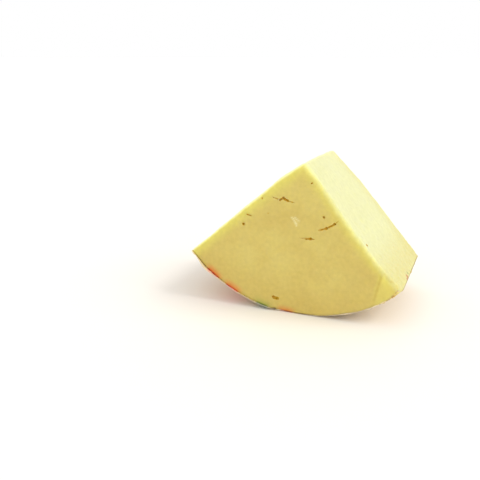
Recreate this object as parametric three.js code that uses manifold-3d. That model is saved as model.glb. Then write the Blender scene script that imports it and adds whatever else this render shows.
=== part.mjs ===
// A quarter-round wedge of firm cheese that lies on its curved side, and the printed film round that side.
// Millimetres, +Z up. The origin is on the surface that the wedge lies on, in the middle of its footprint box.
// The tip is up, the front cut face looks along -Y, and the right-hand cut face looks up and along +X.
import * as THREE from "three";
import { mergeVertices } from "three/addons/utils/BufferGeometryUtils.js";
import Module from "manifold-3d";

// The round slice, and the wedge that is cut out of it
const CHEESE_RADIUS = 88; // from the slice's centre, which is the wedge's tip, to the rind
const THICKNESS = 71; // between the front and back cut faces
const WEDGE_ANGLE = 91.2; // degrees between the two radial cuts
const LEAN = 4.3; // degrees that the tip leans to the right
const FLAT_WIDTH = 24; // the strip of rind that the cheese's own weight has pressed flat
const TIP_ROUND = 2.5; // radius of the long edge at the tip
const EDGE_ROUND = 1.5; // radius of the edges between the radial cuts and the front and back faces

// The film that clings to the rind
const FILM_THICKNESS = 0.4;
const FILM_GAP = 0.3; // between the rind and the film
const FILM_OVERHANG = 1.0; // how far the film stands past the front and back faces

// Where the knife slipped at the front right corner and took a slanting sliver off
const SLIP_ALONG_EDGE = 16; // from the corner, up the right-hand edge
const SLIP_ALONG_RIND = 19; // from the corner, round the rind
const SLIP_TILT = 12; // degrees between the slanting cut and the front face

// Slits and eyes that the cuts have opened. outward says where one lies between the tip (0) and the rind (1).
// across says where it lies between the left cut (0) and the right one (1) on the front and back faces, and
// between the front (0) and the back (1) on the radial cuts. turn is in degrees.
const FRONT_HOLES = [
  { outward: 0.26, across: 0.3, length: 12.5, width: 1.0, depth: 3.0, turn: -6 },
  { outward: 0.43, across: 0.83, length: 11.5, width: 1.1, depth: 3.5, turn: 28 },
  { outward: 0.48, across: 0.62, length: 7.0, width: 1.2, depth: 3.0, turn: 0 },
  { outward: 0.92, across: 0.45, length: 3.6, width: 1.5, depth: 2.5, turn: -8 },
  { outward: 0.57, across: 0.09, length: 1.6, width: 1.6, depth: 1.6, turn: 0 },
  { outward: 0.36, across: 0.83, length: 1.4, width: 1.4, depth: 1.4, turn: 0 },
];
const BACK_HOLES = [
  { outward: 0.39, across: 0.68, length: 9.0, width: 1.1, depth: 3.0, turn: 15 },
  { outward: 0.66, across: 0.31, length: 10.5, width: 1.0, depth: 3.0, turn: -12 },
  { outward: 0.75, across: 0.77, length: 2.0, width: 1.8, depth: 1.6, turn: 0 },
];
const RIGHT_HOLES = [
  { outward: 0.64, across: 0.05, length: 1.4, width: 1.3, depth: 1.5, turn: 0 },
];
const LEFT_HOLES = [
  { outward: 0.43, across: 0.63, length: 8.5, width: 1.1, depth: 3.0, turn: 35 },
  { outward: 0.7, across: 0.3, length: 2.0, width: 1.6, depth: 1.6, turn: 0 },
];

// How finely the round shapes are divided
const RIND_STEP = 2.5; // degrees
const ROUND_STEPS = 5;
const HOLE_SIDES = 10;

const wasm = await Module();
wasm.setup();

// Angles are from straight down, positive to the right.
const radians = THREE.MathUtils.degToRad;
const leftCut = -radians(WEDGE_ANGLE / 2 + LEAN);
const rightCut = radians(WEDGE_ANGLE / 2 - LEAN);
const filmOutside = FILM_GAP + FILM_THICKNESS; // from the rind to the film's outer side
const tipAboveRind = Math.sqrt(CHEESE_RADIUS ** 2 - (FLAT_WIDTH / 2) ** 2); // above the flat strip
const tip = new THREE.Vector2(
  (-(CHEESE_RADIUS + filmOutside) * (Math.sin(leftCut) + Math.sin(rightCut))) / 2,
  tipAboveRind + filmOutside,
);

function fromTip(distance, angle) {
  return new THREE.Vector2(tip.x + distance * Math.sin(angle), tip.y - distance * Math.cos(angle));
}

// The whole slice's outline, with its flat strip underneath, moved outwards by a clearance.
function sliceOutline(clearance) {
  const radius = CHEESE_RADIUS + clearance;
  const flatEnd = Math.acos((tipAboveRind + clearance) / radius);
  const turn = 2 * (Math.PI - flatEnd);
  const steps = Math.ceil(turn / radians(RIND_STEP));
  return Array.from({ length: steps + 1 }, (_, i) => fromTip(radius, flatEnd + (turn * i) / steps));
}

// The two radial cuts, which meet in a rounded corner at the tip and run on well past the rind.
function wedgeOutline() {
  const half = (rightCut - leftCut) / 2;
  const middle = (rightCut + leftCut) / 2;
  const centre = fromTip(TIP_ROUND / Math.sin(half), middle);
  const turn = Math.PI - 2 * half;
  const corner = Array.from({ length: ROUND_STEPS + 1 }, (_, i) => {
    const angle = middle + Math.PI - turn / 2 + (turn * i) / ROUND_STEPS;
    const out = new THREE.Vector2(Math.sin(angle), -Math.cos(angle));
    return out.multiplyScalar(TIP_ROUND).add(centre);
  });
  const reach = 2 * (CHEESE_RADIUS + filmOutside);
  return [...corner, fromTip(reach, leftCut), fromTip(reach, rightCut)];
}

// A solid of an outline in the XZ plane, centred on Y, with its front and back edges rounded.
function slab(outline, thickness, round) {
  const geometry = new THREE.ExtrudeGeometry(new THREE.Shape(outline), {
    depth: thickness - 2 * round,
    bevelEnabled: round > 0,
    bevelThickness: round,
    bevelSize: round,
    bevelOffset: -round,
    bevelSegments: ROUND_STEPS,
  });
  geometry.translate(0, 0, -thickness / 2 + round);
  geometry.rotateX(Math.PI / 2);
  return solid(geometry);
}

function solid(geometry) {
  const bare = geometry.clone();
  bare.deleteAttribute("normal");
  bare.deleteAttribute("uv");
  const merged = mergeVertices(bare, 1e-4);
  return new wasm.Manifold(
    new wasm.Mesh({
      numProp: 3,
      vertProperties: merged.attributes.position.array,
      triVerts: new Uint32Array(merged.index.array),
    }),
  );
}

// The block that the slipping knife takes off. Its lowest face is the slanting cut.
function knifeSlip() {
  const high = fromTip(CHEESE_RADIUS - SLIP_ALONG_EDGE, rightCut);
  const low = fromTip(CHEESE_RADIUS, rightCut - SLIP_ALONG_RIND / CHEESE_RADIUS);
  const start = new THREE.Vector3(high.x, -THICKNESS / 2, high.y);
  const along = new THREE.Vector3(low.x - high.x, 0, low.y - high.y).normalize();
  const towardsCorner = new THREE.Vector3(-along.z, 0, along.x);
  const slant = towardsCorner.multiplyScalar(Math.cos(radians(SLIP_TILT)));
  slant.y = Math.sin(radians(SLIP_TILT));
  const out = new THREE.Vector3().crossVectors(along, slant);
  const block = new THREE.BoxGeometry(THICKNESS, THICKNESS, THICKNESS);
  block.translate(0, 0, THICKNESS / 2);
  block.applyMatrix4(new THREE.Matrix4().makeBasis(along, slant, out).setPosition(start));
  return solid(block);
}

// A hollow shaped like half a long egg: centre is on the face, right and up lie in it, and out leaves it.
function hollow({ length, width, depth, turn }, centre, right, up, out) {
  const egg = new THREE.SphereGeometry(1, HOLE_SIDES, HOLE_SIDES / 2);
  egg.scale(length / 2, width / 2, depth);
  egg.rotateZ(radians(turn));
  egg.applyMatrix4(new THREE.Matrix4().makeBasis(right, up, out).setPosition(centre));
  return solid(egg);
}

// Hollows in the front face (side -1) or the back one (side 1).
function hollowsInFlatFace(holes, side) {
  const right = new THREE.Vector3(-side, 0, 0);
  const up = new THREE.Vector3(0, 0, 1);
  const out = new THREE.Vector3(0, side, 0);
  return holes.map((hole) => {
    const angle = THREE.MathUtils.lerp(leftCut, rightCut, hole.across);
    const at = fromTip(hole.outward * CHEESE_RADIUS, angle);
    return hollow(hole, new THREE.Vector3(at.x, (side * THICKNESS) / 2, at.y), right, up, out);
  });
}

function hollowsInRadialCut(holes, cut) {
  const side = Math.sign(cut);
  const up = new THREE.Vector3(-Math.sin(cut), 0, Math.cos(cut)); // towards the tip
  const out = new THREE.Vector3(side * Math.cos(cut), 0, side * Math.sin(cut));
  const right = new THREE.Vector3().crossVectors(up, out);
  return holes.map((hole) => {
    const at = fromTip(hole.outward * CHEESE_RADIUS, cut);
    return hollow(hole, new THREE.Vector3(at.x, (hole.across - 0.5) * THICKNESS, at.y), right, up, out);
  });
}

function cheese() {
  const wedge = slab(wedgeOutline(), THICKNESS, EDGE_ROUND);
  const cuts = [
    knifeSlip(),
    ...hollowsInFlatFace(FRONT_HOLES, -1),
    ...hollowsInFlatFace(BACK_HOLES, 1),
    ...hollowsInRadialCut(RIGHT_HOLES, rightCut),
    ...hollowsInRadialCut(LEFT_HOLES, leftCut),
  ];
  const whole = wedge.intersect(slab(sliceOutline(0), 2 * THICKNESS, 0));
  return cuts.reduce((rest, cut) => rest.subtract(cut), whole);
}

function rindFilm() {
  const width = THICKNESS + 2 * FILM_OVERHANG;
  const hoop = slab(sliceOutline(filmOutside), width, 0).subtract(slab(sliceOutline(FILM_GAP), 2 * width, 0));
  return hoop.intersect(slab(wedgeOutline(), 2 * width, 0)).subtract(knifeSlip());
}

function mesh(name, manifold, material) {
  const { vertProperties, triVerts } = manifold.getMesh();
  const geometry = new THREE.BufferGeometry();
  geometry.setAttribute("position", new THREE.BufferAttribute(vertProperties, 3));
  geometry.setIndex(new THREE.BufferAttribute(triVerts, 1));
  geometry.computeVertexNormals();
  const made = new THREE.Mesh(geometry, material);
  made.name = name;
  return made;
}

const cheesePaste = new THREE.MeshStandardMaterial({ color: 0xd9c977, roughness: 0.5, metalness: 0 });
const printedFilm = new THREE.MeshStandardMaterial({ color: 0xe2cf8e, roughness: 0.25, metalness: 0 });

const wedge = new THREE.Group();
wedge.add(mesh("cheese", cheese(), cheesePaste));
wedge.add(mesh("rind_film", rindFilm(), printedFilm));

export default wedge;
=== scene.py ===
# %% [markdown]
# # A wedge of firm cheese in printed film
# This notebook builds the looks of a quarter-round wedge of pale, firm cheese that lies on its curved side.
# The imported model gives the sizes, so the first step is to load it. Everything below is in metres, in its
# frame.
# %% Load the frame
import math

import bmesh
import bpy
import numpy as np
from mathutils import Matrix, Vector, noise


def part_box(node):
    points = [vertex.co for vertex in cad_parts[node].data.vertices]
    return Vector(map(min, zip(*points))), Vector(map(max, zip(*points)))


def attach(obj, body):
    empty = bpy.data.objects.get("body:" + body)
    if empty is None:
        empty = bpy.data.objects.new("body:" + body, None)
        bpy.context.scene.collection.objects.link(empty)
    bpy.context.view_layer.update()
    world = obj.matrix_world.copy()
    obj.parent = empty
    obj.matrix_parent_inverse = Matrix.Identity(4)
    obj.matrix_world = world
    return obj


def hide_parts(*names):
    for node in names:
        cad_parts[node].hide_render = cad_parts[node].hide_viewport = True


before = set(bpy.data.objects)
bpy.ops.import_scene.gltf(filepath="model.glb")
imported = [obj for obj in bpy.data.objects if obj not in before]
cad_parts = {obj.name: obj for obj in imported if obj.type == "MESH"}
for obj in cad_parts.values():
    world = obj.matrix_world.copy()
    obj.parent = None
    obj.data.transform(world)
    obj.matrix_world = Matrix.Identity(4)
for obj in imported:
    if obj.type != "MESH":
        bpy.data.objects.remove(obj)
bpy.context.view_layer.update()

print("pieces of the frame:", sorted(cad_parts))

# %% [markdown]
# ## Measures
# The wedge was cut from a round slice: two straight cuts meet at the slice's centre, which is the wedge's
# tip. So its shape is known from a radius, a thickness and the direction of each cut. The two boxes of the
# frame give the thickness and the heights, and the tip's place follows from them.
# %% Take the measures from the frame
MM = 0.001
RADIUS = 88 * MM
FLAT_WIDTH = 24 * MM  # the strip of rind that the cheese's weight presses flat
LEFT_CUT = math.radians(-49.9)  # from straight down, positive to the right
RIGHT_CUT = math.radians(41.3)

cheese_low, cheese_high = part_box("cheese")
film_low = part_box("rind_film")[0]
THICKNESS = cheese_high.y - cheese_low.y
tip = Vector((
    cheese_low.x - RADIUS * math.sin(LEFT_CUT),
    0,
    cheese_low.z + math.sqrt(RADIUS**2 - (FLAT_WIDTH / 2) ** 2),
))
print("thickness %.1f mm, tip at %.1f, %.1f mm" % (THICKNESS / MM, tip.x / MM, tip.z / MM))


def down_the_cut(angle):
    """The direction from the tip along a cut, in the plane of the front face."""
    return Vector((math.sin(angle), 0, -math.cos(angle)))


def away_from_cut(angle):
    """The direction that a radial cut faces, away from the cheese."""
    side = math.copysign(1, angle)
    return Vector((side * math.cos(angle), 0, side * math.sin(angle)))


# %% [markdown]
# ## Camera
# The wedge is seen from the front and a little from the right, from above. The camera stands about 36 cm
# from the tip, as close as for a small product, so its perspective is fairly strong. It is aimed at the
# wedge's left part, so the wedge is right of the middle.
# %% Place the camera
STANDS = Vector((93.0, -346.8, 56.1)) * MM  # from the tip
LOOKS_AT = Vector((-50.6, 0, -58.7)) * MM
LENS = 45.2  # millimetres, on a sensor 36 mm wide

camera = bpy.data.objects.new("camera", bpy.data.cameras.new("camera"))
camera.data.lens = LENS
camera.data.sensor_width = 36
camera.location = tip + STANDS
view = LOOKS_AT - STANDS
camera.rotation_euler = view.to_track_quat("-Z", "Y").to_euler()
bpy.context.collection.objects.link(camera)
bpy.context.scene.camera = camera
print("camera", round(view.length, 3), "m from what it looks at")

# %% [markdown]
# ## Light and floor
# Cheese looks fresh in bright, soft light. A white world lights all sides alike. A wide, soft sun shines
# from the right, about half way up the sky, and meets the right-hand cut squarely. A weaker and wider one
# fills in the front. Both light the floor evenly, however far away it is, so it runs into the white
# background.
# %% Light the set
FLOOR_SIZE = 60  # metres, so that its edge is too far away to see
scene = bpy.context.scene
scene.view_settings.view_transform = "Standard"
scene.world = bpy.data.worlds.new("white studio")
scene.world.use_nodes = True
background = scene.world.node_tree.nodes["Background"]
background.inputs["Color"].default_value = (1.0, 1.0, 1.0, 1)
background.inputs["Strength"].default_value = 1.0


def soft_sun(name, energy, width, comes_from):
    """A sun of a given width in degrees."""
    sun = bpy.data.objects.new(name, bpy.data.lights.new(name, "SUN"))
    sun.data.energy = energy
    sun.data.angle = math.radians(width)
    sun.rotation_euler = Vector(comes_from).to_track_quat("Z", "Y").to_euler()
    bpy.context.collection.objects.link(sun)


soft_sun("key", energy=1.52, width=36, comes_from=(0.74, 0.08, 0.67))
soft_sun("fill", energy=0.65, width=90, comes_from=(0.60, -0.70, 0.35))

bpy.ops.mesh.primitive_plane_add(size=FLOOR_SIZE)
floor = bpy.context.object
floor.name = "floor"
print("suns and floor in place")


# %% [markdown]
# ## Colours and nodes
# Colours are written as sRGB hex values, as a colour picker gives them, and one function turns them to the
# linear values that the shader needs. One function adds any shader node with its settings and links.
# %% Define the colour and node helpers
def colour(value):
    """An sRGB hex colour as linear red, green, blue and alpha."""
    parts = [int(value[i : i + 2], 16) / 255 for i in (1, 3, 5)]
    return [p / 12.92 if p <= 0.04045 else ((p + 0.055) / 1.055) ** 2.4 for p in parts] + [1.0]


def add(tree, kind, inputs, **settings):
    """Add a shader node. inputs maps a socket's name or number to a value, or to the socket that feeds it."""
    made = tree.nodes.new("ShaderNode" + kind)
    for key, value in settings.items():
        setattr(made, key, value)
    for key, value in inputs.items():
        if isinstance(value, bpy.types.NodeSocket):
            tree.links.new(value, made.inputs[key])
        else:
            made.inputs[key].default_value = value
    return made


def material(name):
    """A new material with nodes, its tree and its Principled shader."""
    made = bpy.data.materials.new(name)
    made.use_nodes = True
    return made, made.node_tree, made.node_tree.nodes["Principled BSDF"]


white, tree, surface = material("white painted board")
surface.inputs["Base Color"].default_value = colour("#eae5dd")
surface.inputs["Roughness"].default_value = 0.8
surface.inputs["Specular IOR Level"].default_value = 0.2
floor.data.materials.append(white)
print("floor painted")


# %% [markdown]
# ## Small tools
# An operator works on everything that is selected, so `only` selects one object and nothing else. `finish`
# applies a modifier. `pick` selects edges by the places of their two ends, which is how a script points at
# them.
# %% Define the small tools
def only(piece):
    """Select one object, and nothing else."""
    bpy.ops.object.select_all(action="DESELECT")
    piece.select_set(True)
    bpy.context.view_layer.objects.active = piece


def finish(piece, kind, **settings):
    """Add a modifier to a piece and apply it."""
    only(piece)
    modifier = piece.modifiers.new(kind.lower(), kind)
    for key, value in settings.items():
        setattr(modifier, key, value)
    bpy.ops.object.modifier_apply(modifier=modifier.name)


def pick(piece, wanted):
    """In edit mode, select just the edges whose two ends pass a test."""
    bpy.ops.mesh.select_mode(type="EDGE")
    bpy.ops.mesh.select_all(action="DESELECT")
    edit = bmesh.from_edit_mesh(piece.data)
    for edge in edit.edges:
        edge.select_set(wanted(edge.verts[0].co) and wanted(edge.verts[1].co))
    chosen = sum(edge.select for edge in edit.edges)
    bmesh.update_edit_mesh(piece.data)
    return chosen


def slice_off(place, facing, fill=True):
    """In edit mode, cut everything off that is past a plane, and close the cut."""
    bpy.ops.mesh.select_all(action="SELECT")
    bpy.ops.mesh.bisect(
        plane_co=place, plane_no=facing, use_fill=fill, clear_outer=True, threshold=0.001 * MM
    )


def places(piece):
    """The places of all of a piece's vertices, as an array."""
    flat = np.empty(len(piece.data.vertices) * 3)
    piece.data.vertices.foreach_get("co", flat)
    return flat.reshape(-1, 3)


def put_back(piece, at):
    """Move a piece's vertices to the places in an array."""
    piece.data.vertices.foreach_set("co", at.ravel())
    piece.data.update()


def fade(distance, full, none):
    """1 where a distance is under full, 0 where it is over none, and a smooth change between."""
    share = np.clip((none - distance) / (none - full), 0, 1)
    return share * share * (3 - 2 * share)


def wander(along, across, seed):
    """Smooth noise from about -1 to 1 at each pair of numbers."""
    return np.array([noise.noise(Vector((a, b, seed))) for a, b in zip(along, across)])


def paint(piece, name, amount):
    """Store a number for each vertex, which a material can read by name."""
    layer = piece.data.attributes.new(name, "FLOAT", "POINT")
    layer.data.foreach_set("value", amount.astype(np.float32))


# %% [markdown]
# ## The blank
# A cheesemonger cuts a slice from a log of cheese and quarters it. The blank is made in the same way: a
# disc, then a straight cut for each face. Bisect makes such a cut through everything that is selected,
# throws one side away and fills the cut. Cheese is soft, so the strip that the wedge lies on is cut flat as
# well.
# %% Cut the blank from a disc
UNDER_FILM = 0.4 * MM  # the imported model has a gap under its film, and the cheese fills it here
ABOVE_FLOOR = 0.2 * MM  # room for the film under the flat strip
bpy.ops.mesh.primitive_cylinder_add(
    vertices=288, radius=RADIUS + UNDER_FILM, depth=THICKNESS, location=tip, rotation=(math.pi / 2, 0, 0)
)
cheese = bpy.context.object
cheese.name = "cheese_wedge"
bpy.ops.object.transform_apply(location=True, rotation=True, scale=True)

FRONT = -THICKNESS / 2
# The knife slipped at the front right corner and took a slanting sliver off.
SLIP_ALONG_EDGE = 16 * MM
SLIP_ALONG_RIND = 19 * MM
SLIP_TILT = math.radians(12)
slip_start = tip + down_the_cut(RIGHT_CUT) * (RADIUS - SLIP_ALONG_EDGE) + Vector((0, FRONT, 0))
slip_end = tip + down_the_cut(RIGHT_CUT - SLIP_ALONG_RIND / RADIUS) * RADIUS + Vector((0, FRONT, 0))
slip_along = (slip_end - slip_start).normalized()
slip_across = Vector((-slip_along.z, 0, slip_along.x)) * math.cos(SLIP_TILT)
slip_across.y = math.sin(SLIP_TILT)
slip_facing = slip_along.cross(slip_across)

bpy.ops.object.mode_set(mode="EDIT")
slice_off((0, 0, film_low.z + ABOVE_FLOOR), (0, 0, -1))
slice_off(tip, away_from_cut(LEFT_CUT))
slice_off(tip, away_from_cut(RIGHT_CUT))
slice_off(slip_start, slip_facing)
print("crease beside the sliced corner:", round((slip_end - slip_start).length / MM, 1), "mm long")

# %% [markdown]
# ## Round the edges
# The cutting wire leaves fairly sharp edges, but cheese is soft, so they are rounded a little: most at the
# tip and at the right-hand edges, where the piece has been handled. The front rim is pressed round too,
# from the strip that it lies on to the corner where the knife slipped. Bevel rounds the edges that are
# selected, so each kind of edge needs a test that says whether a place is on a face. An edge lies where two
# faces meet, so its two ends pass both faces' tests.
# %% Round the edges
TOUCHES = 0.05 * MM
RIM_FROM = -14 * MM  # the front rim is rounded from just left of the flat strip


def on_cut(at, angle):
    """Whether a place lies on a radial cut."""
    return abs((at - tip).dot(away_from_cut(angle))) < TOUCHES


def on_end(at):
    """Whether a place lies on the front or the back face."""
    return abs(abs(at.y) - THICKNESS / 2) < TOUCHES


def on_slip(at):
    """Whether a place lies on the sliced corner's facet."""
    return abs((at - slip_start).dot(slip_facing)) < TOUCHES


def on_front_rim(at):
    """Whether a place lies on the front rim, up to the right-hand corner."""
    outside = math.hypot(at.x - tip.x, at.z - tip.z) > RADIUS - 0.5 * MM
    return outside and at.x > tip.x + RIM_FROM and (abs(at.y - FRONT) < TOUCHES or on_slip(at))


TIP_ROUND = 3.4 * MM
RIGHT_ROUND = 2.8 * MM
LEFT_ROUND = 0.9 * MM
RIM_ROUND = 1.6 * MM
print("tip edges", pick(cheese, lambda at: on_cut(at, LEFT_CUT) and on_cut(at, RIGHT_CUT)))
bpy.ops.mesh.bevel(offset=TIP_ROUND, segments=6, affect="EDGES")
print("front rim edges", pick(cheese, on_front_rim))
bpy.ops.mesh.bevel(offset=RIM_ROUND, segments=4, affect="EDGES")
print("right edges", pick(cheese, lambda at: (on_end(at) or on_slip(at)) and on_cut(at, RIGHT_CUT)))
bpy.ops.mesh.bevel(offset=RIGHT_ROUND, segments=4, affect="EDGES")
print("left edges", pick(cheese, lambda at: on_end(at) and on_cut(at, LEFT_CUT)))
bpy.ops.mesh.bevel(offset=LEFT_ROUND, segments=3, affect="EDGES")
bpy.ops.object.mode_set(mode="OBJECT")
print("blank:", len(cheese.data.polygons), "faces")

# %% [markdown]
# ## An even skin
# A cut face is one polygon so far, and nothing can be shaped inside it. A voxel remesh covers the whole
# wedge with small, even squares. Their size is a compromise: fine enough for lumps of a few millimetres,
# and coarse enough to keep the mesh under 200,000 triangles.
# %% Remesh the blank
SKIN_GRID = 0.73 * MM
finish(cheese, "REMESH", mode="VOXEL", voxel_size=SKIN_GRID, use_smooth_shade=True)
finish(cheese, "SMOOTH", factor=0.5, iterations=2)
print("skin:", len(cheese.data.polygons), "faces")

# %% [markdown]
# ## Worn corners
# The tip and the front right corner have been touched and knocked, so they are blunter than the rest.
# Smoothing moves each vertex towards its neighbours, which blunts a corner most. A vertex group keeps it to
# those places.
# %% Wear the tip and the corner
TIP_WORN = (5 * MM, 13 * MM)  # wholly worn nearer than the first, and not at all past the second
CORNER_WORN = (3 * MM, 9 * MM)
END_WORN = (3 * MM, 10 * MM)  # the tip's edge is worn most near its two ends


def from_tip(at):
    """Each place's distance from the tip, seen from the front, and its angle from straight down."""
    right, down = at[:, 0] - tip.x, tip.z - at[:, 2]
    return np.hypot(right, down), np.arctan2(right, down)


def group(piece, name, amount, levels=20):
    """A vertex group with the given weights, in a few steps."""
    made = piece.vertex_groups.new(name=name)
    step = np.rint(amount * levels).astype(int)
    for level in range(1, levels + 1):
        made.add(np.flatnonzero(step == level).tolist(), level / levels, "REPLACE")


at = places(cheese)
radius = from_tip(at)[0]
corner = tip + down_the_cut(RIGHT_CUT) * RADIUS + Vector((0, FRONT, 0))
from_corner = np.linalg.norm(at - np.array(corner), axis=1)
end_worn = fade(THICKNESS / 2 - np.abs(at[:, 1]), *END_WORN)
tip_worn = fade(radius, *TIP_WORN) * (0.3 + 0.7 * end_worn)
group(cheese, "worn", np.maximum(tip_worn, fade(from_corner, *CORNER_WORN)))
finish(cheese, "SMOOTH", factor=0.5, iterations=60, vertex_group="worn")
print("worn at the tip and the corner")

# %% [markdown]
# ## Shape that the cutting left
# No cut through cheese is flat. Both radial cuts bulge a little between the tip and the middle, the tip's
# edge runs slightly downhill to the back, and the whole surface wanders by a few tenths of a millimetre.
# Bulges and slope are moves worked out from each vertex's place. The rest comes after them, as layers of
# cloud noise.
# %% Bend the cuts
BULGES = [  # of each radial cut: how high, where it is highest and where it ends, from the tip
    (LEFT_CUT, 1.1 * MM, 17 * MM, RADIUS),
    (RIGHT_CUT, 0.7 * MM, 27 * MM, 66 * MM),
]
# How far the tip's edge is off at its front end, and at its back end
TIP_LEAN_FRONT = Vector((1.7, 0, 1.4)) * MM
TIP_LEAN_BACK = Vector((0, 0, -0.8)) * MM


def under_cut(at, angle):
    """How deep each place is under a radial cut."""
    return -(at - np.array(tip)) @ np.array(away_from_cut(angle))


def swell(at):
    """How far each place moves when the two radial cuts bulge."""
    radius = from_tip(at)[0]
    move = np.zeros_like(at)
    for cut, height, highest, ends in BULGES:
        bulge = height * np.interp(radius, (0, highest, ends), (0, 1, 0))
        bulge *= fade(under_cut(at, cut), 0, 10 * MM)
        move += bulge[:, None] * np.array(away_from_cut(cut))
    return move


def lean(at):
    """How far each place moves when the tip's edge leans."""
    radius = from_tip(at)[0]
    to_front = np.clip(0.5 - at[:, 1] / THICKNESS, 0, 1)[:, None]
    move = to_front * np.array(TIP_LEAN_FRONT) + (1 - to_front) * np.array(TIP_LEAN_BACK)
    return move * fade(radius, 5 * MM, 45 * MM)[:, None]


at = places(cheese)
put_back(cheese, at + swell(at) + lean(at))
print("bulges up to %.2f mm" % (np.linalg.norm(swell(at), axis=1).max() / MM))

# %% [markdown]
# ## Roughness of the skin
# The film keeps the rind smooth, and the right-hand cut is crumbly towards its rind. So each layer of noise
# has a vertex group that says where it works. Displace moves each vertex along its normal by the noise at
# its place.
# %% Roughen the skin
rind_depth = RADIUS - from_tip(at)[0]
open_face = 1 - fade(rind_depth, 0.5 * MM, 2 * MM)  # 0 on the rind, which the film keeps smooth
on_right = fade(under_cut(at, RIGHT_CUT), 0.5 * MM, 3 * MM)
crumbly = open_face * on_right * fade(rind_depth, 5 * MM, 30 * MM)


def roughen(piece, name, size, height, where=""):
    """Push the skin in and out by cloud noise of a given size."""
    clouds = bpy.data.textures.new(name, "CLOUDS")
    clouds.noise_scale = size
    clouds.noise_depth = 1
    finish(piece, "DISPLACE", texture=clouds, texture_coords="LOCAL", strength=height, vertex_group=where)


group(cheese, "open face", open_face)
group(cheese, "crumbly", crumbly)
roughen(cheese, "wandering of the cut", 26 * MM, 0.9 * MM, "open face")
roughen(cheese, "lumps", 6 * MM, 0.35 * MM, "open face")
roughen(cheese, "grain", 2.2 * MM, 0.16 * MM, "open face")
roughen(cheese, "crumbs", 3.2 * MM, 0.5 * MM, "crumbly")
print("surface roughened")

# %% [markdown]
# ## Slits and eyes
# Gas opens small eyes and flat slits in the paste while it ripens, and the knife lays some of them open.
# Each one is a short string of egg shapes along a path on its face: round eggs at the path's points, and
# long ones between them. A list of points and widths is easy to change, and the eggs give the uneven gape
# of a torn slit.
# %% Describe the openings
# Each opening is a list of places on its face: millimetres right of the tip (or along the thickness),
# millimetres below it (or down the cut), and how wide it gapes there.
FRONT_OPENINGS = [
    [(-15.4, 19.9, 0.5), (-11.7, 20.8, 1.3), (-9.7, 19.6, 1.9), (-7.3, 20.8, 1.7), (-3.3, 21.6, 0.5)],
    [
        (11.0, 35.9, 0.6), (12.6, 35.4, 1.3), (15.3, 34.3, 1.9),
        (17.7, 33.0, 1.2), (19.6, 31.7, 1.7), (21.3, 29.8, 0.5),
    ],
    [(0.2, 41.3, 0.45), (4.1, 41.7, 1.4), (6.6, 41.4, 2.0), (8.6, 41.5, 0.6)],
    [(-14.5, 79.6, 2.4), (-13.1, 79.9, 2.4), (-12.0, 79.9, 1.9)],
    [(-33.6, 37.1, 1.8)],
    [(13.6, 28.3, 1.5)],
    [(-21.9, 21.3, 1.1)],
    [(-31.2, 31.3, 0.9), (-28.8, 31.8, 0.9)],
    [(6.0, 10.1, 1.0)],
    [(-18.7, 29.0, 0.8)],
]
BACK_OPENINGS = [
    [(-10.5, 33.9, 0.4), (-8.0, 33.2, 1.1), (-4.9, 32.9, 0.9), (-2.4, 31.9, 0.35)],
    [(17.0, 51.8, 0.35), (20.4, 52.6, 1.0), (23.8, 54.2, 1.0), (26.5, 54.6, 0.4)],
    [(-22.6, 62.0, 1.9)],
    [(4.5, 60.1, 0.9)],
    [(28.7, 40.2, 1.1)],
]
RIGHT_OPENINGS = [
    [(-32.3, 56.4, 1.6)],
    [(18.0, 30.4, 0.6)],
    [(4.5, 70.3, 0.7)],
]
LEFT_OPENINGS = [
    [(-12.6, 35.6, 0.4), (-9.6, 37.6, 1.1), (-7.4, 39.5, 0.9), (-5.8, 41.6, 0.35)],
    [(13.9, 61.6, 1.8)],
    [(-20.0, 66.5, 0.9)],
    [(6.3, 18.2, 0.8)],
]
FACES = [  # each face's openings, where its zero is, which way is right on it, and which way is down
    (FRONT_OPENINGS, Vector((tip.x, FRONT, tip.z)), Vector((1, 0, 0)), Vector((0, 0, -1))),
    (BACK_OPENINGS, Vector((tip.x, -FRONT, tip.z)), Vector((-1, 0, 0)), Vector((0, 0, -1))),
    (RIGHT_OPENINGS, tip, Vector((0, 1, 0)), down_the_cut(RIGHT_CUT)),
    (LEFT_OPENINGS, tip, Vector((0, -1, 0)), down_the_cut(LEFT_CUT)),
]
print("openings described:", sum(len(face[0]) for face in FACES))

# %% [markdown]
# ## Cut the openings
# Joining the eggs and remeshing them at a sixth of a millimetre melts each string into one hollow, and
# cloud noise roughens its wall. A boolean then takes all the hollows out of the wedge in one go. Its cut
# faces keep the hollows' own material, so the walls of the eyes can be darker than the paste.
# %% Cut the openings
def egg(centre, long_way, length, width, depth, into):
    """An egg shape on a face, long one way along it and deep the other."""
    third = into.cross(long_way)
    bpy.ops.mesh.primitive_uv_sphere_add(segments=12, ring_count=8, radius=0.5)
    made = bpy.context.object
    for vertex in made.data.vertices:
        x, y, z = vertex.co
        vertex.co = centre + long_way * x * length + third * y * width + into * z * 2 * depth
    return made


def opening(spots, zero, right, down):
    """A string of eggs through the spots: a round one at each, and a long one between each two."""
    into = right.cross(down)
    centres = [zero + right * x * MM + down * y * MM for x, y, _ in spots]
    widths = [width * MM for _, _, width in spots]
    eggs = [egg(c, right, w, w, w * 0.8, into) for c, w in zip(centres, widths)]
    for a, b, u, v in zip(centres, centres[1:], widths, widths[1:]):
        way = b - a
        narrow = min(u, v)
        eggs.append(egg((a + b) / 2, way.normalized(), way.length * 1.4, narrow * 0.9, narrow * 0.7, into))
    return eggs


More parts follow.
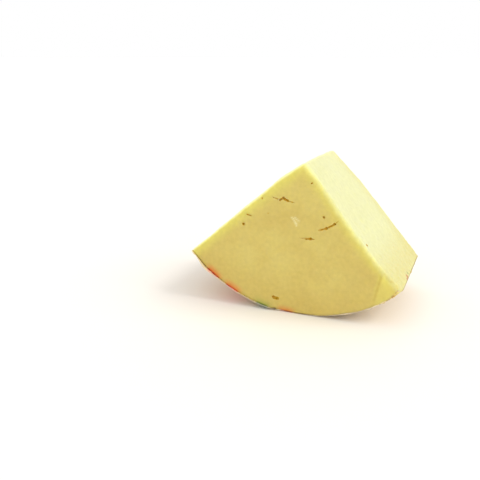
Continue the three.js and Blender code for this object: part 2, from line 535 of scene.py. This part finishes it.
HOLLOW_GRID = 0.16 * MM
eggs = []
for openings, zero, right, down in FACES:
    for spots in openings:
        eggs += opening(spots, zero, right, down)
bpy.ops.object.select_all(action="DESELECT")
for one in eggs:
    one.select_set(True)
bpy.context.view_layer.objects.active = eggs[0]
bpy.ops.object.join()
hollows = bpy.context.object
finish(hollows, "REMESH", mode="VOXEL", voxel_size=HOLLOW_GRID)
roughen(hollows, "wall of an eye", 0.9 * MM, 0.6 * MM)
at = places(hollows)
put_back(hollows, at + swell(at))
print("openings:", len(eggs), "eggs,", len(hollows.data.polygons), "faces")

paste, paste_tree, paste_surface = material("cheese paste, wire-cut")
eye_wall, _, eye_surface = material("cheese eye wall, moist")
cheese.data.materials.append(paste)
hollows.data.materials.append(eye_wall)
finish(cheese, "BOOLEAN", object=hollows, operation="DIFFERENCE", solver="MANIFOLD", material_mode="TRANSFER")
bpy.data.objects.remove(hollows)
print("wedge with openings:", len(cheese.data.polygons), "faces,", [m.name for m in cheese.data.materials])

# %% [markdown]
# ## Clean the mesh
# A boolean leaves slivers, where a hollow's mesh nearly meets the skin's. Merging vertices that are a few
# thousandths of a millimetre apart closes them. A vertex with only two edges is then taken out, because the
# two faces beside it can't both be split into triangles cleanly.
# %% Clean the mesh after the boolean
SLIVER = 0.005 * MM
only(cheese)
bpy.ops.object.mode_set(mode="EDIT")
bpy.ops.mesh.select_mode(type="VERT")
bpy.ops.mesh.select_all(action="SELECT")
bpy.ops.mesh.remove_doubles(threshold=SLIVER)
bpy.ops.mesh.select_all(action="DESELECT")
edit = bmesh.from_edit_mesh(cheese.data)
for vertex in edit.verts:
    vertex.select_set(len(vertex.link_edges) == 2)
bmesh.update_edit_mesh(cheese.data)
bpy.ops.mesh.dissolve_verts()
bpy.ops.object.mode_set(mode="OBJECT")
bpy.ops.object.shade_smooth_by_angle(angle=math.radians(40))
print("cleaned:", len(cheese.data.polygons), "faces")

# %% [markdown]
# ## Painted masks
# Some colour follows the shape. The right-hand cut is pale, partly as fresh paste and partly as a painted
# highlight; a painted highlight runs beside its edges, and the left cut's edge is painted light as well. The
# end faces carry a painted glow near the cuts, where light gets in, the sliced facet is painted lighter as
# painted light, and the crease beside it is darkened as painted shade. The right-hand cut is darker along its
# back edge, and the colour deepens towards the rind. Each mask is a number per vertex, worked out from its
# place before the cuts were bent, so a mask's edge follows the bent edge of the wedge.
# %% Paint the masks
at = places(cheese)
radius, angle = from_tip(at)
to_end = THICKNESS / 2 - np.abs(at[:, 1])
unbent = at - swell(at) - lean(at)
to_right = under_cut(unbent, RIGHT_CUT)
to_left = under_cut(unbent, LEFT_CUT)
to_cut = np.minimum(to_right, to_left)
uneven = 0.7 * MM * wander(radius / (4 * MM), at[:, 1] / (4 * MM), 6.5)
# painted highlight: a bright band on the end faces along their edge with the right-hand cut
paint(cheese, "painted highlight on ridge", fade(to_right + uneven, 0.6 * MM, 3.6 * MM))
# the right-hand cut's pale colour: partly its fresh paste, partly a painted highlight from the key light
paint(cheese, "fresh cut and painted highlight", fade(to_right + 0.5 * uneven, 0.1 * MM, 1.3 * MM))
# darker along the back edge of the right-hand cut
back_band = fade(THICKNESS / 2 - at[:, 1] + 4 * uneven, 1 * MM, 16 * MM)
paint(cheese, "back band", back_band * fade(to_right, 0.5 * MM, 2 * MM))
# painted highlight: the left cut and its edge are painted light, as lit from above
paint(cheese, "left cut", fade(to_left + 0.5 * uneven, 0.3 * MM, 1.6 * MM))
paint(cheese, "crumbled", fade(to_right, 1.0 * MM, 3 * MM) * fade(RADIUS - radius, 4 * MM, 34 * MM))
# painted glow: the end faces are painted lighter near the radial cuts, where light gets in
paint(cheese, "painted glow near edge", fade(to_cut, 0, 8 * MM) * fade(to_end, 0.5 * MM, 2 * MM))
paint(cheese, "near rind", fade(RADIUS - radius, 2 * MM, 26 * MM))

to_slip = np.abs((at - np.array(slip_start)) @ np.array(slip_facing))
past_crease = (at - np.array(slip_start)) @ np.array(slip_along.cross(Vector((0, 1, 0))))
at_corner = fade(np.linalg.norm(at - np.array(corner), axis=1), 12 * MM, 20 * MM)
at_corner *= fade(to_end, 4 * MM, 5 * MM)
# painted light: the sliced facet is painted lighter, because it faces the light more
paint(cheese, "painted light on slipped facet", fade(to_slip, 0.15 * MM, 0.5 * MM) * at_corner)
# painted shade: a darker line along the crease beside the sliced facet
crease_shade_mask = fade(np.abs(past_crease), 0.2 * MM, 1.2 * MM) * fade(to_end, 1 * MM, 2 * MM)
paint(cheese, "crease", crease_shade_mask * at_corner)
print("masks of the cuts painted")

# %% [markdown]
# ## Ink glow, ink and scuffs
# Light through the film's red and green ink is painted as a glow in the paste near the rind, most strongly
# right at the rim, and a few flecks of the ink were dragged onto the right-hand cut. The scuffs are short
# strokes on the front face. A stroke is two points, and its mask is how near a vertex is to the line between
# them.
# %% Paint the ink's glow, the flecks and the scuffs
RED_GLOW = [(-37.3, 2.7), (-27.9, 2.8), (-4.5, 2.2)]  # degrees round the rind, and half the width
GREEN_GLOW = [(-14.3, 2.5)]
GLOW_REACH = 5 * MM
RIM_REACH = 1 * MM
RED_FLECKS = [(-9.6, 86.9, 1.1), (-12.2, 87.6, 0.7)]  # along the thickness, down the right-hand cut, radius
GREEN_FLECKS = [(-5.6, 85.9, 0.6), (-4.2, 86.3, 0.5), (1.5, 87.2, 0.5), (6.4, 87.8, 0.6)]
SCUFFS = [  # right of the tip and below it, where each starts and stops
    ((-4.9, 29.9), (-1.4, 33.6)),
    ((-3.0, 29.9), (-0.4, 32.0)),
    ((-2.9, 32.6), (-1.6, 34.9)),
]
SCUFF_WIDTH = 0.7 * MM


def glow(prints, reach):
    """How strong the painted glow of light through some prints' ink is, at each vertex up to some way in from
    the rind.
    """
    found = np.zeros(len(at))
    for middle, half in prints:
        beside = np.abs(np.degrees(angle) - middle)
        shine = fade(beside, half * 0.5, half + 2.5 * reach / GLOW_REACH)
        found = np.maximum(found, shine * fade(RADIUS - radius, 0, reach))
    return found


def flecks(spots):
    """How near each vertex is to one of some flecks of ink on the right-hand cut."""
    found = np.zeros(len(at))
    ragged = 0.7 * MM * wander(at[:, 1] / MM, at[:, 2] / MM, 3.5)
    for along_y, down, size in spots:
        centre = tip + down_the_cut(RIGHT_CUT) * down * MM + Vector((0, along_y * MM, 0))
        off = np.linalg.norm(at - np.array(centre), axis=1) + ragged
        found = np.maximum(found, fade(off, 0.6 * size * MM, 1.4 * size * MM))
    return found


def scuffs(strokes):
    """How near each vertex of the front face is to one of some strokes."""
    found = np.zeros(len(at))
    spot = np.stack([at[:, 0] - tip.x, tip.z - at[:, 2]], axis=1) / MM
    for start, stop in strokes:
        start, way = np.array(start), np.subtract(stop, start)
        share = np.clip((spot - start) @ way / (way @ way), 0, 1)
        off = np.linalg.norm(spot - start - share[:, None] * way, axis=1) * MM
        found = np.maximum(found, fade(off, 0, SCUFF_WIDTH) * (at[:, 1] < 0))
    return found


# painted glow: light through the film's red and green ink, tinting the paste near the rind and most at the
# rim
paint(cheese, "painted red glow", glow(RED_GLOW, GLOW_REACH))
paint(cheese, "painted green glow", glow(GREEN_GLOW, GLOW_REACH))
paint(cheese, "painted red rim glow", glow(RED_GLOW, RIM_REACH))
paint(cheese, "painted green rim glow", glow(GREEN_GLOW, RIM_REACH))
paint(cheese, "red fleck", flecks(RED_FLECKS))
paint(cheese, "green fleck", flecks(GREEN_FLECKS))
paint(cheese, "scuff", scuffs(SCUFFS))
print("masks painted:", [layer.name for layer in cheese.data.attributes])

# %% [markdown]
# ## Cheese paste
# Firm, pale cheese made by stretching curd. Light goes a few millimetres into it and comes out again, so
# edges glow and shadows inside it are soft and yellow: that is what subsurface scattering gives. Red light
# goes furthest and blue least. First come the colours: the paste's own, its painted highlights, glow and
# shade at each kind of place, and the painted glow of light through the inks. The sizes are those of its
# blotches and grains.
# %% Choose the paste's colours
PASTE = "#cfbe6a"
PASTE_DEEP = "#c7b05b"
# painted glow of the end faces near the cuts, also used as painted light on the sliced facet
PASTE_PAINTED_GLOW = "#dbd565"
# darker tone along the back of the right-hand cut and where it crumbles
PASTE_DARKER = "#bcb162"
# painted highlight beside the right-hand cut's edges
PASTE_RIDGE_HIGHLIGHT = "#dcd996"
# partly fresh paste, partly a painted highlight on the right-hand cut
PASTE_FRESH_AND_HIGHLIGHT = "#c7c692"
# painted highlight on the left cut's edge
PASTE_LEFT_HIGHLIGHT = "#efeaae"
# painted shade in the crease beside the sliced facet
PASTE_CREASE_SHADE = "#ab8a38"
PASTE_SCUFFED = "#e6dfae"
# painted glow of light through the film's ink, near the rind and at the rim
PAINTED_RED_GLOW_TINT = "#d8742c"
PAINTED_GREEN_GLOW_TINT = "#9aa343"
PAINTED_RED_RIM_TINT = "#de451c"
PAINTED_GREEN_RIM_TINT = "#5f8426"
RED_INK = "#a11c08"
GREEN_INK = "#56702c"
BLOTCH = 14 * MM
MOTTLE = 2.4 * MM
CRUMB = 1.1 * MM
GRAIN = 0.9 * MM  # drawn coarser than real grain, which is too fine to show
LAYERS = [  # mask, how much of it, colour
    ("near rind", 0.6, PASTE_DEEP),
    # painted glow near the cuts, and painted light on the sliced facet
    ("painted glow near edge", 0.8, PASTE_PAINTED_GLOW),
    ("painted light on slipped facet", 0.35, PASTE_PAINTED_GLOW),
    # painted shade in the crease
    ("crease", 0.4, PASTE_CREASE_SHADE),
    # painted highlight beside the right-hand cut's edges
    ("painted highlight on ridge", 0.9, PASTE_RIDGE_HIGHLIGHT),
    # partly fresh paste, partly a painted highlight
    ("fresh cut and painted highlight", 1.0, PASTE_FRESH_AND_HIGHLIGHT),
    ("back band", 0.4, PASTE_DARKER),
    ("crumbled", 0.5, PASTE_DARKER),
    # painted highlight on the left cut's edge
    ("left cut", 1.0, PASTE_LEFT_HIGHLIGHT),
    # painted glow of light through the film's ink
    ("painted red glow", 0.8, PAINTED_RED_GLOW_TINT),
    ("painted green glow", 0.6, PAINTED_GREEN_GLOW_TINT),
    ("painted red rim glow", 0.8, PAINTED_RED_RIM_TINT),
    ("painted green rim glow", 0.7, PAINTED_GREEN_RIM_TINT),
    ("red fleck", 1.0, RED_INK),
    ("green fleck", 0.6, GREEN_INK),
    ("scuff", 0.7, PASTE_SCUFFED),
]
print(len(LAYERS), "layers of colour")

# %% [markdown]
# ## Mix the paste
# The layers are laid over the base colour one after another, each by its painted mask. Noise adds faint
# blotches, crumbs near the rind and a fine mottle. The surface that the wire leaves is fine-grained,
# slightly moist and satin, so the roughness is in the middle and the grain is a shallow bump.
# %% Mix the cheese paste
tree = paste_tree
place = add(tree, "TexCoord", {}).outputs["Object"]
blotch = add(tree, "TexNoise", {"Vector": place, "Scale": 1 / BLOTCH, "Detail": 2.0}).outputs["Fac"]
mottle = add(tree, "TexNoise", {"Vector": place, "Scale": 1 / MOTTLE, "Detail": 3.0}).outputs["Fac"]
grain = add(tree, "TexNoise", {"Vector": place, "Scale": 1 / GRAIN, "Detail": 3.0}).outputs["Fac"]

deep = add(tree, "MapRange", {0: blotch, 1: 0.35, 2: 0.7, 3: 0.0, 4: 0.6}).outputs[0]
base = add(tree, "Mix", {0: deep, 6: colour(PASTE), 7: colour(PASTE_DEEP)}, data_type="RGBA").outputs[2]
for name, share, tint in LAYERS:
    mask = add(tree, "Attribute", {}, attribute_name=name).outputs["Fac"]
    mask = add(tree, "Math", {0: mask, 1: share}, operation="MULTIPLY").outputs[0]
    base = add(tree, "Mix", {0: mask, 6: base, 7: colour(tint)}, data_type="RGBA").outputs[2]
crumbs = add(tree, "TexNoise", {"Vector": place, "Scale": 1 / CRUMB, "Detail": 2.0}).outputs["Fac"]
crumbs = add(tree, "MapRange", {0: crumbs, 1: 0.48, 2: 0.66, 3: 0.0, 4: 0.45}).outputs[0]
crumbly = add(tree, "Attribute", {}, attribute_name="crumbled").outputs["Fac"]
crumbs = add(tree, "Math", {0: crumbs, 1: crumbly}, operation="MULTIPLY").outputs[0]
base = add(tree, "Mix", {0: crumbs, 6: base, 7: colour(PASTE_DEEP)}, data_type="RGBA").outputs[2]
shade = add(tree, "MapRange", {0: mottle, 1: 0.3, 2: 0.7, 3: 0.95, 4: 1.04}).outputs[0]
base = add(tree, "VectorMath", {0: base, "Scale": shade}, operation="SCALE").outputs[0]
tree.links.new(base, paste_surface.inputs["Base Color"])
bump = add(tree, "Bump", {"Height": grain, "Strength": 0.3, "Distance": 0.25 * MM}).outputs[0]
tree.links.new(bump, paste_surface.inputs["Normal"])
paste_surface.inputs["Roughness"].default_value = 0.48
paste_surface.inputs["IOR"].default_value = 1.45
paste_surface.inputs["Subsurface Weight"].default_value = 0.7
paste_surface.inputs["Subsurface Radius"].default_value = (1.0, 0.9, 0.35)
paste_surface.inputs["Subsurface Scale"].default_value = 4 * MM
print("paste mixed:", len(tree.nodes), "nodes")

# %% [markdown]
# ## Eye walls
# Inside an eye the paste was never cut. It is smooth and moist, so it shines more, and it is deeper in
# colour because the light in a hollow meets the paste again and again before it leaves.
# %% Mix the eye walls
EYE_WALL = "#cca634"
eye_surface.inputs["Base Color"].default_value = colour(EYE_WALL)
eye_surface.inputs["Roughness"].default_value = 0.3
eye_surface.inputs["IOR"].default_value = 1.45
eye_surface.inputs["Subsurface Weight"].default_value = 0.5
eye_surface.inputs["Subsurface Radius"].default_value = (1.0, 0.84, 0.26)
eye_surface.inputs["Subsurface Scale"].default_value = 1.5 * MM
print("eye walls mixed")

# %% [markdown]
# ## The film
# The log of cheese ripened in a printed plastic film, and each slice keeps a strip of it round its rind. A
# film is flat before it is wrapped, so it is made in that order, and the first step is a flat grid of the
# strip's real size. The grid comes with a UV map, in which the print is simple, and which stays with it
# through every bend.
# %% Lay the film flat
FILM_SHEET = 0.1 * MM
FILM_STAND = 0.43 * MM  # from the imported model's rind to the middle of the sheet
FILM_PAST_CUTS = -0.3 * MM  # past the radial cuts: under zero, so it stops just short of them
FILM_PAST_FACES = 0.9 * MM  # past the front and back faces, on average
FILM_GRID = 0.85 * MM
film_length = (RIGHT_CUT - LEFT_CUT) * RADIUS + 2 * FILM_PAST_CUTS
film_width = THICKNESS + 2 * FILM_PAST_FACES

bpy.ops.mesh.primitive_grid_add(
    x_subdivisions=round(film_length / FILM_GRID), y_subdivisions=round(film_width / FILM_GRID), size=1
)
film = bpy.context.object
film.name = "printed_rind_film"
film.scale = (film_length, film_width, 1)
bpy.ops.object.transform_apply(scale=True)
print("flat film %.1f by %.1f mm" % (film_length / MM, film_width / MM))

# %% [markdown]
# ## The film's cut edges
# The film was cut together with the cheese, so its edges stand past the faces by a little and wander. On
# the left one stretch of the front lip has come loose and stands out. From the bottom to the right the lip
# clings round the pressed rim instead. Each is a number per vertex that the next step turns into a place.
# %% Let the edges wander
TIGHT_FROM = math.radians(-4)  # from here to the right, the front lip clings round the rim
TIGHT_OVER = math.radians(8)
LOOSE_AT = math.radians(-41)  # where the front lip has come loose
LOOSE_WIDE = math.radians(4)
LOOSE_STANDS = 1.3 * MM  # how much further out the loose stretch stands
EDGE_WANDERS = 0.6 * MM


def tightness(round_rind, across):
    """1 where the film clings round the front rim, 0 where it stands past it."""
    return fade(TIGHT_FROM - round_rind, 0, TIGHT_OVER) * (across < 0)


flat = places(film)
along = flat[:, 0] + film_length / 2 - FILM_PAST_CUTS  # from the left cut, round the rind
across = flat[:, 1]
round_rind = LEFT_CUT + along / RADIUS
end = np.sign(across)
reach = np.abs(across) / (film_width / 2)

loose = np.exp(-(((round_rind - LOOSE_AT) / LOOSE_WIDE) ** 2)) * (end < 0)
tight = tightness(round_rind, across)
past = FILM_PAST_FACES * (1 - 1.2 * tight) + LOOSE_STANDS * loose
past += EDGE_WANDERS * (1 - 0.58 * tight) * wander(along / (7 * MM), end * 5, 1.5)
across = end * reach * (THICKNESS / 2 + past)
print("lip from %.1f to %.1f mm past the faces" % (past.min() / MM, past.max() / MM))

# %% [markdown]
# ## Roll the film
# Rolling is a change of each vertex's distance from the tip. The lip flares outwards a little, the film
# curls in over the rim, and it has fine creases. A crease is where stretched noise crosses zero, which is a
# thin, wandering line, as in real cling film. Two noises are stretched different ways, so creases cross.
# %% Roll the film round the rind
CORNER_SUNK = 1.3 * MM  # how far the film follows the worn corner in
RIM_LEAST = 0.6 * MM  # how round the rim is where it wasn't pressed
CREASE_DEEP = 0.45 * MM

lip = fade(THICKNESS / 2 + 0.2 * MM - np.abs(across), 0, 3 * MM)
flare = (0.05 + 0.2 * np.abs(wander(along / (5 * MM), end * 7, 4.5))) * MM * (1 - tight) + 0.4 * MM * loose
nominal = np.stack([tip.x + RADIUS * np.sin(round_rind), across, tip.z - RADIUS * np.cos(round_rind)], axis=1)
under_slip = -(nominal - np.array(slip_start)) @ np.array(slip_facing)
under_end = np.minimum(THICKNESS / 2 - np.abs(across), under_slip)
rim = RIM_LEAST + (RIM_ROUND - RIM_LEAST) * tight
over = np.clip(1 - under_end / rim, 0, 1)
curl = 0.8 * rim * (1 - np.sqrt(1 - over**2)) * (1 - 0.4 * loose)
crease = np.abs(wander(along / (16 * MM), across / (3.2 * MM), 8.5))
crease += np.abs(wander(along / (5 * MM), across / (9 * MM), 2.5))
wrinkle = CREASE_DEEP * fade(crease, 0.02, 0.22)
at_corner = fade(np.linalg.norm(nominal - np.array(corner), axis=1), 1 * MM, 9 * MM)
from_tip_now = RADIUS + FILM_STAND + flare * lip + wrinkle - curl - CORNER_SUNK * at_corner
angle = round_rind - CORNER_SUNK / RADIUS * at_corner
put_back(film, np.stack([
    tip.x + from_tip_now * np.sin(angle),
    across,
    np.maximum(tip.z - from_tip_now * np.cos(angle), film_low.z + FILM_SHEET / 2),
], axis=1))
print("rolled, from %.1f to %.1f mm from the tip" % (from_tip_now.min() / MM, from_tip_now.max() / MM))

# %% [markdown]
# ## Trim and thicken the film
# The knife that slipped took the film's corner too, so the same plane trims it. Solidify then gives the
# sheet its two sides, and its lowest vertices are set on the floor. The last lines mark the lip that stands
# free of the cheese, because a clear film looks paler where no yellow cheese is behind it.
# %% Trim and thicken the film
TRIMMED_SHORT = 0.3 * MM  # how far short of the facet the film ends
only(film)
bpy.ops.object.mode_set(mode="EDIT")
slice_off(slip_start - slip_facing * TRIMMED_SHORT, slip_facing, fill=False)
bpy.ops.object.mode_set(mode="OBJECT")
finish(film, "SOLIDIFY", thickness=FILM_SHEET, offset=0)
at = places(film)
at[:, 2] = np.maximum(at[:, 2], film_low.z)
put_back(film, at)
only(film)
bpy.ops.object.shade_smooth_by_angle(angle=math.radians(50))

angle = from_tip(at)[1]
to_lip = np.minimum(THICKNESS / 2 - np.abs(at[:, 1]), (RIGHT_CUT - angle) * RADIUS)
to_lip = np.minimum(to_lip, (angle - LEFT_CUT) * RADIUS)
to_lip -= RIM_ROUND * tightness(angle, at[:, 1])
paint(film, "free lip", fade(to_lip, -0.5 * MM, 0.6 * MM))
print("film:", len(film.data.polygons), "faces")

# %% [markdown]
# ## Printed film
# A thin polyethylene film, printed before it was wrapped. It clings to the rind, so the cheese's yellow
# shows through where nothing is printed. The print is of the makers' usual sort but plain: bands of red and
# green across the strip, rows of red rosettes, and rows of small golden lozenges that run round the cheese.
# It is made of Math nodes on the flat sheet's own UV map, turned back into metres, so every mark has a real
# size.
# %% Set out the print
RED = "#e02c14"
GREEN = "#3f6a14"
GOLD = "#966a20"
STRAW = "#dabd6c"
CLEAR_LIP = "#efe8cf"
BANDS = [(-27.9, 5.6, RED), (-14.3, 5.0, GREEN)]  # degrees round the rind, width in degrees, colour
CLEAR_BESIDE = 1.2 * MM  # the stripe without print along each side of a band
ROSETTES_AT = [-37.3, -4.5]  # degrees round the rind
ROSETTE_RADIUS = 4.4 * MM
PETALS = 8
# A row's first and last rosettes are cut by the front and back edges.
ROSETTE_PITCH = (THICKNESS - 3 * MM) / 3
COLUMN_PITCH = 8.2 * MM
LOZENGE_PITCH = 4.2 * MM

printed, tree, surface = material("polyethylene film, printed")
sheet = add(tree, "UVMap", {}, uv_map="UVMap").outputs[0]
sheet = add(tree, "SeparateXYZ", {0: sheet}).outputs
along = add(tree, "MapRange", {0: sheet[0], 3: -FILM_PAST_CUTS, 4: film_length - FILM_PAST_CUTS}).outputs[0]
across = add(tree, "MapRange", {0: sheet[1], 3: -film_width / 2, 4: film_width / 2}).outputs[0]


def round_to_length(degrees):
    """How far round the rind an angle from straight down is, from the left cut."""
    return (math.radians(degrees) - LEFT_CUT) * RADIUS


print("print set out on a sheet of %.0f by %.0f mm" % (film_length / MM, film_width / MM))

# %% [markdown]
# ## Lozenges
# A Ping-Pong node makes a distance that rises and falls again and again. One runs across the rows and one
# along them, and their sum is small inside a lozenge, so comparing it with a number gives an outline or a
# middle.
# %% Print the rows of lozenges
in_row = add(tree, "Math", {0: across, 1: COLUMN_PITCH * 10}, operation="ADD").outputs[0]
in_row = add(tree, "Math", {0: in_row, 1: COLUMN_PITCH / 2}, operation="PINGPONG").outputs[0]
in_row = add(tree, "Math", {0: in_row, 1: COLUMN_PITCH / 2}, operation="DIVIDE").outputs[0]
step_on = add(tree, "Math", {0: along, 1: LOZENGE_PITCH / 2}, operation="PINGPONG").outputs[0]
step_on = add(tree, "Math", {0: step_on, 1: LOZENGE_PITCH / 2}, operation="DIVIDE").outputs[0]
step_on = add(tree, "Math", {0: step_on, 1: 0.55}, operation="MULTIPLY").outputs[0]
lozenge = add(tree, "Math", {0: in_row, 1: step_on}, operation="ADD").outputs[0]

outline = add(tree, "Math", {0: lozenge, 1: 0.5, 2: 0.1}, operation="COMPARE").outputs[0]
middle = add(tree, "Math", {0: lozenge, 1: 0.2}, operation="LESS_THAN").outputs[0]
rule = add(tree, "Math", {0: in_row, 1: 0.86, 2: 0.05}, operation="COMPARE").outputs[0]
gold = add(tree, "Math", {0: outline, 1: middle}, operation="MAXIMUM").outputs[0]
gold = add(tree, "Math", {0: gold, 1: rule}, operation="MAXIMUM").outputs[0]
drawn = add(tree, "Mix", {0: gold, 6: colour(STRAW), 7: colour(GOLD)}, data_type="RGBA").outputs[2]
print("lozenges every %.1f mm, in rows %.1f mm apart" % (LOZENGE_PITCH / MM, COLUMN_PITCH / MM))

# %% [markdown]
# ## Bands and rosettes
# Each band is where the way round the rind is near its middle, with a clear stripe left on both sides. A
# rosette is a disc whose radius goes up and down eight times round it, and a thin clear ring in it.
# %% Print the bands and the rosettes
for degrees, width, ink in BANDS:
    centre = round_to_length(degrees)
    half = math.radians(width / 2) * RADIUS
    for within, tint in [(half + CLEAR_BESIDE, STRAW), (half, ink)]:
        band = add(tree, "Math", {0: along, 1: centre, 2: within}, operation="COMPARE").outputs[0]
        drawn = add(tree, "Mix", {0: band, 6: drawn, 7: colour(tint)}, data_type="RGBA").outputs[2]

for degrees in ROSETTES_AT:
    beside = add(tree, "Math", {0: along, 1: round_to_length(degrees)}, operation="SUBTRACT").outputs[0]
    nearest = add(tree, "Math", {0: across, 1: ROSETTE_PITCH * 10.5}, operation="ADD").outputs[0]
    nearest = add(tree, "Math", {0: nearest, 1: ROSETTE_PITCH / 2}, operation="PINGPONG").outputs[0]
    spot = add(tree, "CombineXYZ", {0: beside, 1: nearest}).outputs[0]
    far = add(tree, "VectorMath", {0: spot}, operation="LENGTH").outputs["Value"]
    turn = add(tree, "Math", {0: beside, 1: nearest}, operation="ARCTAN2").outputs[0]
    turn = add(tree, "Math", {0: turn, 1: PETALS}, operation="MULTIPLY").outputs[0]
    petals = add(tree, "Math", {0: turn}, operation="COSINE").outputs[0]
    edge = {0: petals, 1: 0.1 * ROSETTE_RADIUS, 2: ROSETTE_RADIUS}
    edge = add(tree, "Math", edge, operation="MULTIPLY_ADD").outputs[0]
    clear = add(tree, "Math", {0: far, 1: 1.35 * ROSETTE_RADIUS}, operation="LESS_THAN").outputs[0]
    disc = add(tree, "Math", {0: far, 1: edge}, operation="LESS_THAN").outputs[0]
    ring = {0: far, 1: 0.45 * ROSETTE_RADIUS, 2: 0.08 * ROSETTE_RADIUS}
    ring = add(tree, "Math", ring, operation="COMPARE").outputs[0]
    for shape, tint in [(clear, STRAW), (disc, RED), (ring, STRAW)]:
        drawn = add(tree, "Mix", {0: shape, 6: drawn, 7: colour(tint)}, data_type="RGBA").outputs[2]
print(len(BANDS), "bands and", len(ROSETTES_AT), "rows of rosettes")

# %% [markdown]
# ## The film's surface
# The film is glossy, and fine crinkles break its highlights up. They are finer than the mesh, so they are a
# bump. Its colour is mixed with a pale one on the free lip.
# %% Give the film its surface
CRINKLE = 2.5 * MM
LIP_PALER = 0.65
place = add(tree, "TexCoord", {}).outputs["Object"]
free = add(tree, "Attribute", {}, attribute_name="free lip").outputs["Fac"]
free = add(tree, "Math", {0: free, 1: LIP_PALER}, operation="MULTIPLY").outputs[0]
drawn = add(tree, "Mix", {0: free, 6: drawn, 7: colour(CLEAR_LIP)}, data_type="RGBA").outputs[2]
tree.links.new(drawn, surface.inputs["Base Color"])
crinkle = add(
    tree, "TexNoise", {"Vector": place, "Scale": 1 / CRINKLE, "Detail": 4.0}, noise_type="RIDGED_MULTIFRACTAL"
)
bump = add(tree, "Bump", {"Height": crinkle.outputs[0], "Strength": 0.35, "Distance": 0.15 * MM}).outputs[0]
tree.links.new(bump, surface.inputs["Normal"])
surface.inputs["Roughness"].default_value = 0.22
surface.inputs["IOR"].default_value = 1.5
film.data.materials.append(printed)
print("film printed:", len(tree.nodes), "nodes")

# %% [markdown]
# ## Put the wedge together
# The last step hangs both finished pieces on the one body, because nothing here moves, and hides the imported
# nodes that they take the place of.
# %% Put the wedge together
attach(film, "root")
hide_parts("rind_film")

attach(cheese, "root")
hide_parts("cheese")
